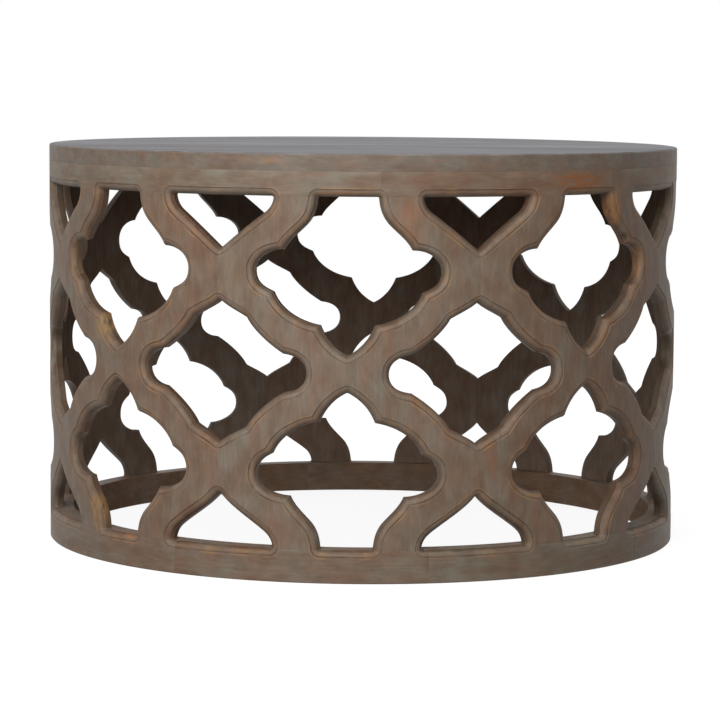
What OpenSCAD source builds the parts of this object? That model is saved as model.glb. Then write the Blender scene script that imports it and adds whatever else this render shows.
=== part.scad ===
// Round drum table with a carved lattice wall.
// Sixteen zig-zag staves stand edge to edge between two segmented rings,
// under a round top of planks. Millimetres, +Z up, origin on the floor
// under the middle of the drum. Angles run from the front (-Y) towards +X.

/* [Drum] */
// Outside diameter of the drum and of the top
drum_d = 760; // [660:10:900]
// Height from the floor to the face of the top
height = 475; // [420:5:600]
// Times that the lattice repeats round the drum, two staves each
repeats = 8; // [6:1:9]

/* [Top] */
// Thickness of the planks
top_t = 19; // [17:1:30]
// Number of planks across the top
plank_count = 7; // [5:1:9]
// Width of the chamfer round the top
edge_w = 2; // [0.5:0.5:5]

/* [Rings] */
// Radial width of both rings
ring_w = 28; // [26:1:40]
// Height of the top ring
top_ring_h = 28; // [24:1:40]
// Height of the bottom ring
bottom_ring_h = 37; // [28:1:60]

/* [Staves] */
// Thickness of a stave
stave_t = 15; // [12:1:17]

/* [Fixings] */
// Diameter of the dowels in the staves
dowel_d = 6; // [4:1:8]
// Length of the dowels in the staves
dowel_l = 28; // [20:1:32]
// Distance between the two dowels in one end of a stave
dowel_pitch = 24; // [18:1:28]
// Diameter of the dowels between the planks
plank_dowel_d = 8; // [6:1:10]
// Length of the dowels between the planks
plank_dowel_l = 40; // [30:1:50]
// Distance between the dowels along a plank
plank_dowel_pitch = 180; // [120:5:190]
// Length of the loose tongues that join the ring segments
tongue_l = 24; // [16:1:30]
// Width of the loose tongues
tongue_w = 16; // [10:1:20]
// Thickness of the loose tongues
tongue_t = 4; // [3:0.5:5]
// Diameter of the screws that hold the top
screw_d = 4; // [3:0.5:5]
// Diameter of the screw heads
screw_head_d = 8; // [6:0.5:9]
// Height of the screw heads
screw_head_h = 2.5; // [1.5:0.5:4]
// Depth that a screw reaches into the planks
screw_bite = 12; // [8:1:14]
// Clearance round dowels, tongues and screws
glue_gap = 0.1; // [0.05:0.05:0.3]
// Space left at the ends of dowels, tongues and screws
end_gap = 0.6; // [0.3:0.1:0.9]

/* [Hidden] */
// How far a cutting shape runs past the wood that it cuts
past = 5;
// Straight pieces in each curve of an outline
curve_steps = 6;

radius = drum_d / 2;
stave_count = 2 * repeats;
stave_a = 360 / stave_count;
segment_a = 2 * stave_a;
plank_w = drum_d / plank_count;

ring_top_z = height - top_t;
lattice_top_z = ring_top_z - top_ring_h;
lattice_h = lattice_top_z - bottom_ring_h;
lattice_mid_z = bottom_ring_h + lattice_h / 2;

// Ring joints, as a share of a stave past a middle crossing
top_joint = 0.24;
bottom_joint = 0.62;

// Outlines of half an opening, from its middle line outwards. The first
// number is the share of a stave across, and the second is the share of
// half the lattice's height, up from the middle. Each outline is a chain
// of curves, and each curve has its end and two handles between.
UPPER_CELL = [
    [0.238, 1], [0.244, 0.927], [0.273, 0.875], [0.333, 0.832],
    [0.389, 0.79], [0.458, 0.751], [0.491, 0.7],
    [0.602, 0.7], [0.713, 0.653], [0.713, 0.579],
    [0.713, 0.506], [0.649, 0.485], [0.569, 0.459],
    [0.533, 0.384], [0.418, 0.301], [0.213, 0.275],
    [0.18, 0.209], [0.111, 0.141], [0, 0.104]
];
LOWER_CELL = [
    [0.209, 1], [0.216, 0.927], [0.242, 0.875], [0.302, 0.832],
    [0.356, 0.79], [0.413, 0.751], [0.44, 0.7],
    [0.56, 0.7], [0.696, 0.653], [0.696, 0.579],
    [0.696, 0.506], [0.636, 0.485], [0.573, 0.459],
    [0.533, 0.384], [0.418, 0.301], [0.218, 0.275],
    [0.182, 0.209], [0.111, 0.141], [0, 0.104]
];
MIDDLE_CELL = [
    [0, 0.404], [0.067, 0.365], [0.156, 0.34], [0.222, 0.311],
    [0.262, 0.253], [0.378, 0.171], [0.509, 0.11],
    [0.6, 0.103], [0.684, 0.072], [0.684, 0]
];
TRIANGLE = [
    [0.431, 1], [0.429, 0.965], [0.409, 0.935], [0.369, 0.91],
    [0.271, 0.858], [0.116, 0.765], [0, 0.697]
];

function two_digits(i) = str(i < 10 ? "0" : "", i);
function stave_name(i) = str("stave_", two_digits(i + 1));
function top_ring_name(i) = str("top_ring_", i + 1);
function bottom_ring_name(i) = str("bottom_ring_", i + 1);
function plank_name(i) = str("plank_", i + 1);

FIXINGS = ["top_dowels", "bottom_dowels", "seam_dowels", "plank_dowels",
           "top_tongues", "bottom_tongues", "top_screws"];

// A point on a cubic curve
function on_curve(a, b, c, d, t) =
    pow(1 - t, 3) * a + 3 * t * pow(1 - t, 2) * b + 3 * t * t * (1 - t) * c + pow(t, 3) * d;

// All points of a chain of curves
function chain(pts) = concat(
    [for (k = [0 : 3 : len(pts) - 4]) for (j = [0 : curve_steps - 1])
        on_curve(pts[k], pts[k + 1], pts[k + 2], pts[k + 3], j / curve_steps)],
    [pts[len(pts) - 1]]
);

// Where a share of a stave lies across the front of the stave, measured
// from the seam with the middle crossing (side -1) or from the other (1)
function across(share, side) = radius * sin(side * (stave_a / 2 - share * stave_a));
function up(share) = lattice_mid_z + share * lattice_h / 2;

// An outline laid on the front of the stave, on one side, upright or not
function laid(pts, side, flip) = [for (p = chain(pts)) [across(p[0], side), up(flip * p[1])]];

function reversed(pts) = [for (i = [len(pts) - 1 : -1 : 0]) pts[i]];

// The middle opening's half outline, from its top tip to its bottom tip
function middle_outline() = concat(
    laid(MIDDLE_CELL, 1, 1),
    reversed([for (p = laid(MIDDLE_CELL, 1, -1)) if (p[1] < lattice_mid_z) p])
);

// The points of an outline, with its last one moved on past the seam that
// it stands on, in line with the one before it
function carried_on(pts) =
    let (last = pts[len(pts) - 1],
         line = last - pts[len(pts) - 2],
         end = last + line * past / abs(line[0]))
    [for (i = [0 : len(pts) - 1]) i < len(pts) - 1 ? pts[i] : end];

// Half an opening that cuts through a stave and on past its seam
module half_opening(outline, side) {
    seam_x = side * (radius + past);
    rotate([90, 0, 0])
        linear_extrude(height = radius + past)
            polygon(concat(
                [[seam_x, outline[0][1]]],
                outline,
                [[seam_x, outline[len(outline) - 1][1]]]
            ));
}

// Half an opening whose outline starts at a ring, carried on past the
// stave's end by the run
module ring_opening(outline, side, run) {
    half_opening(concat([outline[0] + [0, run]], carried_on(outline)), side);
}

module half_openings() {
    ring_opening(laid(UPPER_CELL, -1, 1), -1, past);
    ring_opening(laid(LOWER_CELL, -1, -1), -1, -past);
    ring_opening(laid(TRIANGLE, 1, 1), 1, past);
    ring_opening(laid(TRIANGLE, 1, -1), 1, -past);
    half_opening(reversed(carried_on(reversed(carried_on(middle_outline())))), 1);
}

// A bar of square section bent round the drum, from one angle to another
module bent_bar(from, to, width, z, h) {
    rotate_extrude(angle = to - from, start = from - 90, $fn = 240)
        translate([radius - width, z])
            square([width, h]);
}

// Puts a child that lies at the front of the drum at another angle
module turned(a) {
    rotate([0, 0, a])
        children();
}

// Middles of the stave ends, as shares of a stave past a middle crossing
top_stem = (UPPER_CELL[0][0] + 1 - TRIANGLE[0][0]) / 2;
bottom_stem = (LOWER_CELL[0][0] + 1 - TRIANGLE[0][0]) / 2;
// Shares of half the lattice's height at which the seams are solid wood
seam_heights = [-(MIDDLE_CELL[0][1] + TRIANGLE[len(TRIANGLE) - 1][1]) / 2,
                (MIDDLE_CELL[0][1] + TRIANGLE[len(TRIANGLE) - 1][1]) / 2];

// Every second stave is the mirror image of the one beside it
function stem_angle(i, stem) = (i % 2 == 0 ? i + stem : i + 1 - stem) * stave_a;
function screw_angle(i) = (i + 0.5) * stave_a;

// Two dowels, or with a gap their bores, at the front of the drum
module dowel_pair(z, gap, space) {
    for (side = [-1, 1])
        translate([side * dowel_pitch / 2, -(radius - stave_t / 2), z])
            cylinder(d = dowel_d + 2 * gap, h = dowel_l + 2 * space, center = true, $fn = 32);
}

// One dowel across a seam at the front of the drum, or its bore
module seam_dowel(share, gap, space) {
    translate([0, -(radius - stave_t / 2), up(share)])
        rotate([0, 90, 0])
            cylinder(d = dowel_d + 2 * gap, h = dowel_l + 2 * space, center = true, $fn = 32);
}

// One stave at the front of the drum, with the middle crossing on its left
module stave_blank() {
    difference() {
        bent_bar(-stave_a / 2, stave_a / 2, stave_t, bottom_ring_h, lattice_h);
        half_openings();
        turned((top_stem - 0.5) * stave_a)
            dowel_pair(lattice_top_z, glue_gap, end_gap);
        turned((bottom_stem - 0.5) * stave_a)
            dowel_pair(bottom_ring_h, glue_gap, end_gap);
        turned(-stave_a / 2)
            seam_dowel(0, glue_gap, end_gap);
        turned(stave_a / 2)
            for (share = seam_heights)
                seam_dowel(share, glue_gap, end_gap);
    }
}

module stave(i) {
    color("#7d6c5f")
        turned((i + 0.5) * stave_a)
            mirror([i % 2, 0, 0])
                stave_blank();
}

// A loose tongue across the ring joint at the front, or its slot
module tongue(z, gap, space) {
    translate([0, -(radius - ring_w / 2), z])
        cube([tongue_l + 2 * space, tongue_w + 2 * space, tongue_t + 2 * gap], center = true);
}

// Heights of the tongues, clear of the dowels in the staves
top_tongue_z = ring_top_z - top_ring_h / 4;
bottom_tongue_z = bottom_ring_h / 4;

// One screw through the top ring's inner ledge, or the holes for it
module top_screw(gap, space) {
    shoulder_z = lattice_top_z + end_gap + screw_head_h;
    shank_l = ring_top_z + screw_bite - shoulder_z;
    translate([0, -(radius - (ring_w + stave_t) / 2), 0]) {
        translate([0, 0, shoulder_z - screw_head_h - space])
            cylinder(d = screw_head_d + 2 * gap, h = screw_head_h + space, $fn = 40);
        translate([0, 0, shoulder_z - gap])
            cylinder(d = screw_d + 2 * gap, h = shank_l + gap + space, $fn = 24);
    }
}

// A ring segment that starts at the given joint, with what joins it cut out
module ring_segment(joint, z, h, tongue_z, stem, face_z) {
    from = joint * stave_a;
    to = from + segment_a;
    difference() {
        bent_bar(from, to, ring_w, z, h);
        for (a = [from, to])
            turned(a)
                tongue(tongue_z, glue_gap, end_gap);
        for (i = [-1 : stave_count])
            if (stem_angle(i, stem) > from && stem_angle(i, stem) < to)
                turned(stem_angle(i, stem))
                    dowel_pair(face_z, glue_gap, end_gap);
        children();
    }
}

module top_ring(i) {
    color("#7f7164")
        turned(i * segment_a)
            ring_segment(top_joint, ring_top_z - top_ring_h, top_ring_h,
                         top_tongue_z, top_stem, lattice_top_z)
                for (k = [0 : 3])
                    if (screw_angle(k) > top_joint * stave_a
                        && screw_angle(k) < top_joint * stave_a + segment_a)
                        turned(screw_angle(k))
                            top_screw(glue_gap, end_gap);
}

module bottom_ring(i) {
    color("#7a6c60")
        turned(i * segment_a)
            ring_segment(bottom_joint, 0, bottom_ring_h,
                         bottom_tongue_z, bottom_stem, bottom_ring_h);
}

// The whole round top, with its upper edge chamfered
module top_disc() {
    translate([0, 0, ring_top_z])
        rotate_extrude($fn = 240)
            polygon([[0, 0], [radius, 0], [radius, top_t - edge_w],
                     [radius - edge_w, top_t], [0, top_t]]);
}

// A dowel across a plank seam, or its bore
module plank_dowel(x, seam, gap, space) {
    translate([x, seam * plank_w - radius, ring_top_z + top_t / 2])
        rotate([90, 0, 0])
            cylinder(d = plank_dowel_d + 2 * gap, h = plank_dowel_l + 2 * space, center = true, $fn = 32);
}

module plank(i) {
    low = i == 0 ? -radius - past : i * plank_w - radius;
    high = i == plank_count - 1 ? radius + past : (i + 1) * plank_w - radius;
    color(i % 2 == 0 ? "#8d8a87" : "#878380")
        difference() {
            intersection() {
                top_disc();
                translate([-radius - past, low, ring_top_z - past])
                    cube([drum_d + 2 * past, high - low, top_t + 2 * past]);
            }
            for (seam = [i, i + 1])
                if (seam > 0 && seam < plank_count)
                    for (step = [-1 : 1])
                        plank_dowel(step * plank_dowel_pitch, seam, glue_gap, end_gap);
            for (k = [0 : stave_count - 1]) {
                y = -(radius - (ring_w + stave_t) / 2) * cos(screw_angle(k));
                if (y > low - screw_d && y < high + screw_d)
                    turned(screw_angle(k))
                        top_screw(glue_gap, end_gap);
            }
        }
}

module top_dowels() {
    color("#c9a877")
        for (i = [0 : stave_count - 1])
            turned(stem_angle(i, top_stem))
                dowel_pair(lattice_top_z, 0, 0);
}

module bottom_dowels() {
    color("#c9a877")
        for (i = [0 : stave_count - 1])
            turned(stem_angle(i, bottom_stem))
                dowel_pair(bottom_ring_h, 0, 0);
}

module seam_dowels() {
    color("#c9a877")
        for (i = [0 : stave_count - 1])
            turned(i * stave_a)
                for (share = i % 2 == 0 ? [0] : seam_heights)
                    seam_dowel(share, 0, 0);
}

module plank_dowels() {
    color("#c9a877")
        for (seam = [1 : plank_count - 1])
            for (step = [-1 : 1])
                plank_dowel(step * plank_dowel_pitch, seam, 0, 0);
}

module top_tongues() {
    color("#c9a877")
        for (i = [0 : repeats - 1])
            turned((top_joint + 2 * i) * stave_a)
                tongue(top_tongue_z, 0, 0);
}

module bottom_tongues() {
    color("#c9a877")
        for (i = [0 : repeats - 1])
            turned((bottom_joint + 2 * i) * stave_a)
                tongue(bottom_tongue_z, 0, 0);
}

module top_screws() {
    color("silver")
        for (k = [0 : stave_count - 1])
            turned(screw_angle(k))
                top_screw(0, 0);
}

for (i = [0 : stave_count - 1])
    stave(i);
for (i = [0 : repeats - 1])
    top_ring(i);
for (i = [0 : repeats - 1])
    bottom_ring(i);
for (i = [0 : plank_count - 1])
    plank(i);
top_dowels();
bottom_dowels();
seam_dowels();
plank_dowels();
top_tongues();
bottom_tongues();
top_screws();
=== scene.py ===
# %% [markdown]
# # A drum table with a carved lattice wall
#
# The real table is a drum of solid wood. Sixteen zig-zag staves stand edge to
# edge between two rings, and each pair of staves makes one repeat of a Moorish
# lattice. A moulding is routed round every opening, on the outside only, and
# the whole is stained brown, then rubbed with a grey wash.
#
# The exact solids come from a CAD model, which is loaded first and never moved.
# Each visible piece is then modelled again with its moulding and soft edges,
# in the same place.

# %% Load the CAD frame
import math
import random

import bmesh
import bpy
from mathutils import Matrix, Vector


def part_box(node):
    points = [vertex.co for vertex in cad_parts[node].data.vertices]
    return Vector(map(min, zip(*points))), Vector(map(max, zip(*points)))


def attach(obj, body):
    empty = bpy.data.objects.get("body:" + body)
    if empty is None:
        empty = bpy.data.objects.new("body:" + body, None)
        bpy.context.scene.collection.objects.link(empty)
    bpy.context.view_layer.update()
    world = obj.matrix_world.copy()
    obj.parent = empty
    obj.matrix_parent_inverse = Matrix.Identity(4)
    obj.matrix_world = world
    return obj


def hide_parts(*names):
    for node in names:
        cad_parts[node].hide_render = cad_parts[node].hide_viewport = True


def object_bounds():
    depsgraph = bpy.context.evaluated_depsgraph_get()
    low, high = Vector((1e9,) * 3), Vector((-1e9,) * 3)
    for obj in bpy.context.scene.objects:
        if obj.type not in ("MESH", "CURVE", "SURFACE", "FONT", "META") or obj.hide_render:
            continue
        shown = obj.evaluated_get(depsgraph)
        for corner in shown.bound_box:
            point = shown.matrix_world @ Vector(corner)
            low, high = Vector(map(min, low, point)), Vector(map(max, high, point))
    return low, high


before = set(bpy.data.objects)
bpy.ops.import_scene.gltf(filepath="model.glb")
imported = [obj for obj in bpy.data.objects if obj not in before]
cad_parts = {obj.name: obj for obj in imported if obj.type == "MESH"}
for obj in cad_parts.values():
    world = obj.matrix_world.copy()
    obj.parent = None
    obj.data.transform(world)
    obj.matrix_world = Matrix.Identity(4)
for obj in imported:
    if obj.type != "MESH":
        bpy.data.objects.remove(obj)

bpy.context.view_layer.update()

# %% [markdown]
# ## Sizes
#
# Everything is in metres. The drum's radius and heights are read from the CAD
# nodes, so the pieces here can't drift away from the solids that they dress.
# What only Blender adds, such as the moulding, has its own size.

# %% The drum's sizes
MM = 0.001
low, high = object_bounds()
RADIUS = (high.x - low.x) / 2
HEIGHT = high.z
RING_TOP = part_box("plank_1")[0].z
LATTICE_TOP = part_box("stave_01")[1].z
LATTICE_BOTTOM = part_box("stave_01")[0].z
LATTICE_MIDDLE = (LATTICE_TOP + LATTICE_BOTTOM) / 2
LATTICE_HALF = (LATTICE_TOP - LATTICE_BOTTOM) / 2
STAVES = sum(name.startswith("stave_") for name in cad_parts)
PLANKS = sum(name.startswith("plank_") and name[-1].isdigit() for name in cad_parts)
STAVE_ANGLE = 2 * math.pi / STAVES
STAVE_ARC = RADIUS * STAVE_ANGLE
STAVE_DEPTH = 15 * MM
RING_DEPTH = 28 * MM
TOP_JOINT = 0.24 * STAVE_ARC
BOTTOM_JOINT = 0.62 * STAVE_ARC
print(f"radius {RADIUS:.3f}, height {HEIGHT:.3f}")
print(f"lattice from {LATTICE_BOTTOM:.3f} to {LATTICE_TOP:.3f}, staves: {STAVES}, planks: {PLANKS}")

# %% [markdown]
# ## The lattice as a flat drawing
#
# A joiner would draw the lattice flat and wrap the drawing round the drum, and
# so does this script. In the drawing, x runs along the arc, z runs up, and y is
# the depth into the wood. Half an opening is a chain of cubic curves, each with
# its end and two handles between. The first number is the share of a stave
# across from the opening's middle line, the second is the share of half the
# lattice's height, up from the middle. The sides of the lower triangles are
# carved with a slight bend, so that the wood above them narrows to a neck.

# %% Outlines of half an opening
UPPER_CELL = [
    (0.238, 1), (0.244, 0.927), (0.273, 0.875), (0.333, 0.832),
    (0.389, 0.79), (0.458, 0.751), (0.491, 0.7),
    (0.602, 0.7), (0.713, 0.653), (0.713, 0.579),
    (0.713, 0.506), (0.649, 0.485), (0.569, 0.459),
    (0.533, 0.384), (0.418, 0.301), (0.213, 0.275),
    (0.18, 0.209), (0.111, 0.141), (0, 0.104),
]
LOWER_CELL = [
    (0.209, 1), (0.216, 0.927), (0.242, 0.875), (0.302, 0.832),
    (0.356, 0.79), (0.413, 0.751), (0.44, 0.7),
    (0.56, 0.7), (0.696, 0.653), (0.696, 0.579),
    (0.696, 0.506), (0.636, 0.485), (0.573, 0.459),
    (0.533, 0.384), (0.418, 0.301), (0.218, 0.275),
    (0.182, 0.209), (0.111, 0.141), (0, 0.104),
]
MIDDLE_CELL = [
    (0, 0.404), (0.067, 0.365), (0.156, 0.34), (0.222, 0.311),
    (0.262, 0.253), (0.378, 0.171), (0.509, 0.11),
    (0.6, 0.103), (0.684, 0.072), (0.684, 0),
]
TRIANGLE = [
    (0.431, 1), (0.429, 0.965), (0.409, 0.935), (0.369, 0.91),
    (0.271, 0.858), (0.116, 0.765), (0, 0.697),
]
LOWER_TRIANGLE = TRIANGLE[:4] + [(0.271, 0.849), (0.066, 0.764), (0, 0.697)]


def laid(chain, centre):
    """The curves of half an opening, laid on the drawing to the right of its middle line."""
    points = [
        Vector((centre + across * STAVE_ARC, LATTICE_MIDDLE + up * LATTICE_HALF))
        for across, up in chain
    ]
    return [points[k : k + 4] for k in range(0, len(points) - 1, 3)]


def mirrored(curves, centre):
    """The same curves on the left of the middle line, followed back the other way."""
    return [[Vector((2 * centre - p.x, p.y)) for p in reversed(c)] for c in reversed(curves)]


def flipped(curves):
    """The same curves turned over about the lattice's middle height, followed back."""
    double = 2 * LATTICE_MIDDLE
    return [[Vector((p.x, double - p.y)) for p in reversed(c)] for c in reversed(curves)]


def straight(a, b):
    """A straight line, written as one cubic curve."""
    return [a, a.lerp(b, 1 / 3), a.lerp(b, 2 / 3), b]


def ring_opening(chain, centre):
    """A whole opening that a ring closes, with the wood always on its left."""
    right = laid(chain, centre)
    left = mirrored(right, centre)
    return right + left + [straight(left[-1][3], right[0][0])]


def middle_opening(centre):
    """The opening at half height, which two staves close."""
    right = laid(MIDDLE_CELL, centre)
    right = right + flipped(right)
    return right + mirrored(right, centre)


OPENINGS = [
    ring_opening(UPPER_CELL, 0),
    flipped(ring_opening(LOWER_CELL, 0)),
    middle_opening(STAVE_ARC),
    ring_opening(TRIANGLE, STAVE_ARC),
    flipped(ring_opening(LOWER_TRIANGLE, STAVE_ARC)),
]
print("openings in the drawing:", len(OPENINGS))

# %% [markdown]
# ## Offsetting an outline
#
# A router leaves a moulding of constant width, so each line of the moulding is
# the outline moved sideways into the wood. Where the wood makes a point, the
# moved lines cross and are trimmed there, which gives a mitre. Where the
# opening has a corner, the router turns round it and leaves an arc. So an
# outline is first split into smooth stretches at its corners, and each stretch
# keeps its number of points at every width. The rows of points then join up
# into clean strips of quads.

# %% Split an outline into smooth stretches
CURVE_STEPS = 24
CORNER = math.radians(12)
CORNER_RADIUS = 2 * MM
POINT_SPACING = 3 * MM
ARC_STEP = math.radians(15)


def on_curve(c, t):
    """The point at share t of a cubic curve."""
    s = 1 - t
    return s**3 * c[0] + 3 * t * s**2 * c[1] + 3 * t * t * s * c[2] + t**3 * c[3]


def turn(a, b):
    """The angle from direction a to direction b, positive to the left."""
    return math.atan2(a.x * b.y - a.y * b.x, a.dot(b))


def stretches_of(opening):
    """The opening's smooth stretches, each a fine row of points, in order round the loop."""
    count = len(opening)
    breaks = []
    for k, (before, curve) in enumerate(zip(opening[-1:] + opening, opening)):
        if abs(turn(before[3] - before[2], curve[1] - curve[0])) > CORNER:
            breaks.append(k)
    stretches = []
    for first, after in zip(breaks, breaks[1:] + [breaks[0] + count]):
        points = []
        for k in range(first, after):
            curve = opening[k % count]
            points += [on_curve(curve, j / CURVE_STEPS) for j in range(CURVE_STEPS)]
        points.append(opening[(after - 1) % count][3])
        stretches.append(points)
    return stretches


def normals_of(points):
    """The direction into the wood, on the left, at each point."""
    normals = []
    for k in range(len(points)):
        along = points[min(k + 1, len(points) - 1)] - points[max(k - 1, 0)]
        normals.append(Vector((-along.y, along.x)).normalized())
    return normals


print("smooth stretches round each opening:", [len(stretches_of(o)) for o in OPENINGS])

# %% Trim and resample the moved lines
PARALLEL = 1e-16
SLACK = 1e-9


def crossing(a, b):
    """Where the end of row a crosses the start of row b: the place along each, and the point."""
    searched = 2 * CURVE_STEPS
    for i in range(len(a) - 2, max(len(a) - 2 - searched, -1), -1):
        da = a[i + 1] - a[i]
        for j in range(min(len(b) - 1, searched)):
            db = b[j + 1] - b[j]
            cross = da.x * db.y - da.y * db.x
            if abs(cross) < PARALLEL:
                continue
            gap = b[j] - a[i]
            t = (gap.x * db.y - gap.y * db.x) / cross
            u = (gap.x * da.y - gap.y * da.x) / cross
            if -SLACK <= t <= 1 + SLACK and -SLACK <= u <= 1 + SLACK:
                return i + t, j + u, a[i] + t * da
    raise ValueError("two lines of the moulding don't meet")


def at(points, place):
    """The point at a place along a row, where 2.5 is halfway from the third to the fourth."""
    k = min(int(place), len(points) - 2)
    return points[k].lerp(points[k + 1], place - k)


def resampled(points, start, end, count):
    """count + 1 points at even spacing between two places along a row."""
    row = [at(points, start)] + points[math.floor(start) + 1 : math.ceil(end)] + [at(points, end)]
    lengths = [0]
    for p, q in zip(row, row[1:]):
        lengths.append(lengths[-1] + (q - p).length)
    spaced, k = [], 0
    for j in range(count + 1):
        want = lengths[-1] * j / count
        while k < len(row) - 2 and lengths[k + 1] < want:
            k += 1
        step = lengths[k + 1] - lengths[k]
        spaced.append(row[k].lerp(row[k + 1], (want - lengths[k]) / step if step else 0))
    return spaced


def moved(points, normals, width):
    """A row moved sideways into the wood."""
    return [p + width * n for p, n in zip(points, normals)]


def arc(centre, first, last):
    """Points clockwise from first to last round a centre."""
    spoke = first - centre
    sweep = turn(last - centre, spoke)
    steps = max(2, math.ceil(sweep / ARC_STEP))
    return [centre + Matrix.Rotation(-sweep * k / steps, 2) @ spoke for k in range(steps + 1)]


def length_of(points):
    """The length of a row of points."""
    return sum((q - p).length for p, q in zip(points, points[1:]))


round_trip = sum(length_of(stretch) for stretch in stretches_of(OPENINGS[0]))
print(f"round the first opening: {round_trip:.3f} m")

# %% [markdown]
# The profile is a list of steps from the back of the wall, through the opening,
# over the moulding and out onto the plain face. Each step says how far it is
# from the through edge and how deep it lies. The moulding itself is an ovolo:
# a quarter round between two small square fillets.

# %% The moulding's profile
MOULDING = 8.6 * MM
BEAD = 6.6 * MM
FILLET = 0.9 * MM
QUIRK = 0.9 * MM
BEAD_STEPS = 6
EASE = 0.5 * MM
FLAT_MARGIN = 3 * MM
PLAIN = MOULDING + FLAT_MARGIN


def bead_profile():
    """A quarter round, from its deep end up to just under the plain face."""
    turns = [math.pi / 2 * k / BEAD_STEPS for k in range(BEAD_STEPS + 1)]
    deep = QUIRK + BEAD
    return [(FILLET + BEAD * (1 - math.cos(t)), deep - BEAD * math.sin(t)) for t in turns]


def profile(depth):
    """(distance from the through edge, depth) from the back arris to the plain face."""
    return [
        (EASE, depth),
        (0, depth - EASE),
        (0, QUIRK + BEAD + 0.2 * MM),
        (0.2 * MM, QUIRK + BEAD),
        *bead_profile(),
        (MOULDING - 0.7 * MM, QUIRK + 0.1 * MM),
        (MOULDING - 0.25 * MM, 0.25 * MM),
        (MOULDING + 0.1 * MM, 0),
        (MOULDING + 0.7 * MM, 0),
        (PLAIN, 0),
    ]


print("steps in the profile:", len(profile(STAVE_DEPTH)))

# %% [markdown]
# At each width the smooth stretches are moved, trimmed where they cross and cut
# into the same number of steps. A corner of the opening, where a router turns,
# gets a small arc between its two stretches. Its centre is where the two lines
# cross when they are moved into the opening by the corner's radius.

# %% Rows of points for one opening
def strips_of(opening, widths):
    """One strip per stretch and per rounded corner: a list of rows, one for each width."""
    stretches = stretches_of(opening)
    rows = [(points, normals_of(points)) for points in stretches]
    count = len(rows)
    corners = []
    for k, (points, normals) in enumerate(rows):
        after, after_normals = rows[(k + 1) % count]
        into_wood = turn(points[-1] - points[-2], after[1] - after[0]) > 0
        if into_wood:
            corners.append(None)
        else:
            before_corner = moved(points, normals, -CORNER_RADIUS)
            after_corner = moved(after, after_normals, -CORNER_RADIUS)
            corners.append(crossing(before_corner, after_corner))
    strips = [[] for _ in range(2 * count)]
    for width in widths:
        lines = [moved(points, normals, width) for points, normals in rows]
        starts, ends = [0] * count, [0] * count
        for k in range(count):
            after = (k + 1) % count
            if corners[k]:
                ends[k], starts[after], _ = corners[k]
            elif width:
                ends[k], starts[after], _ = crossing(lines[k], lines[after])
            else:
                ends[k], starts[after] = len(lines[k]) - 1, 0
        for k in range(count):
            steps = max(2, round(length_of(stretches[k]) / POINT_SPACING))
            strips[2 * k].append(resampled(lines[k], starts[k], ends[k], steps))
        for k in range(count):
            if corners[k]:
                _, _, centre = corners[k]
                first, last = strips[2 * k][-1][-1], strips[2 * ((k + 1) % count)][-1][0]
                strips[2 * k + 1].append(arc(centre, first, last))
    return [strip for strip in strips if strip]


strips = strips_of(OPENINGS[0], [width for width, _ in profile(STAVE_DEPTH)])
points = sum(len(strip[0]) for strip in strips)
print("strips round the first opening:", len(strips), "with", points, "points in a row")

# %% [markdown]
# ## From the drawing to a board
#
# The flat board is made first, with its moulding, and bent afterwards, as a
# drawing is easier to cut than a drum. Each strip starts as a chain of edges at
# the back of the wall. Extruding the chain and moving the new vertices to the
# next row of points sweeps the profile round the opening. The plain face and
# the back are then filled in round the outermost chains.
#
# Every vertex remembers how far it is from the through edge. The finish reads
# that later, because the stain sits in the hollows and is rubbed off the edges,
# and because shade is painted into the hollows and onto the walls.

# %% Sweep the profile round an opening
MERGE = 0.01 * MM
TINY = 0.001 * MM


def swept(bm, opening, steps):
    """Adds the wall and the moulding of one opening to a board."""
    reach = bm.verts.layers.float["reach"]
    for strip in strips_of(opening, [width for width, _ in steps]):
        verts, edges = [], []
        for row, (width, depth) in zip(strip, steps):
            if edges:
                made = bmesh.ops.extrude_edge_only(bm, edges=edges)["geom"]
                verts = [g for g in made if isinstance(g, bmesh.types.BMVert)]
                edges = [g for g in made if isinstance(g, bmesh.types.BMEdge)]
            else:
                verts = [bm.verts.new() for _ in row]
                edges = [bm.edges.new(pair) for pair in zip(verts, verts[1:])]
            for vert, p in zip(verts, row):
                vert.co = (p.x, depth, p.y)
                vert[reach] = width


trial = bmesh.new()
trial.verts.layers.float.new("reach")
swept(trial, OPENINGS[0], profile(STAVE_DEPTH))
print("faces swept round the first opening:", len(trial.faces))
trial.free()

# %% A whole flat board with its openings
OFFCUT = 10 * MM


def board(openings, depth):
    """A flat board as high as the two rings and the lattice, carved with the openings."""
    bm = bmesh.new()
    reach = bm.verts.layers.float.new("reach")
    for opening in openings:
        swept(bm, opening, profile(depth))
    bmesh.ops.remove_doubles(bm, verts=bm.verts, dist=MERGE)
    left = min(v.co.x for v in bm.verts) - OFFCUT
    right = max(v.co.x for v in bm.verts) + OFFCUT
    corners = [(left, 0, 0), (right, 0, 0), (right, 0, RING_TOP), (left, 0, RING_TOP)]
    front = [bm.verts.new(corner) for corner in corners]
    edges = [bm.edges.new((front[k - 1], front[k])) for k in range(4)]
    made = bmesh.ops.extrude_edge_only(bm, edges=edges)["geom"]
    back = [g for g in made if isinstance(g, bmesh.types.BMVert)]
    bmesh.ops.translate(bm, verts=back, vec=(0, depth, 0))
    for vert in front + back:
        vert[reach] = PLAIN
    for y in (0, depth):
        rim = [e for e in bm.edges if e.is_boundary]
        rim = [e for e in rim if all(abs(v.co.y - y) < TINY for v in e.verts)]
        bmesh.ops.triangle_fill(bm, edges=rim, use_beauty=True, normal=(0, 1, 0))
    bmesh.ops.recalc_face_normals(bm, faces=bm.faces)
    return bm


stave_board = board(OPENINGS, STAVE_DEPTH)
print("flat stave, not yet sawn:", len(stave_board.faces), "faces")

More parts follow.
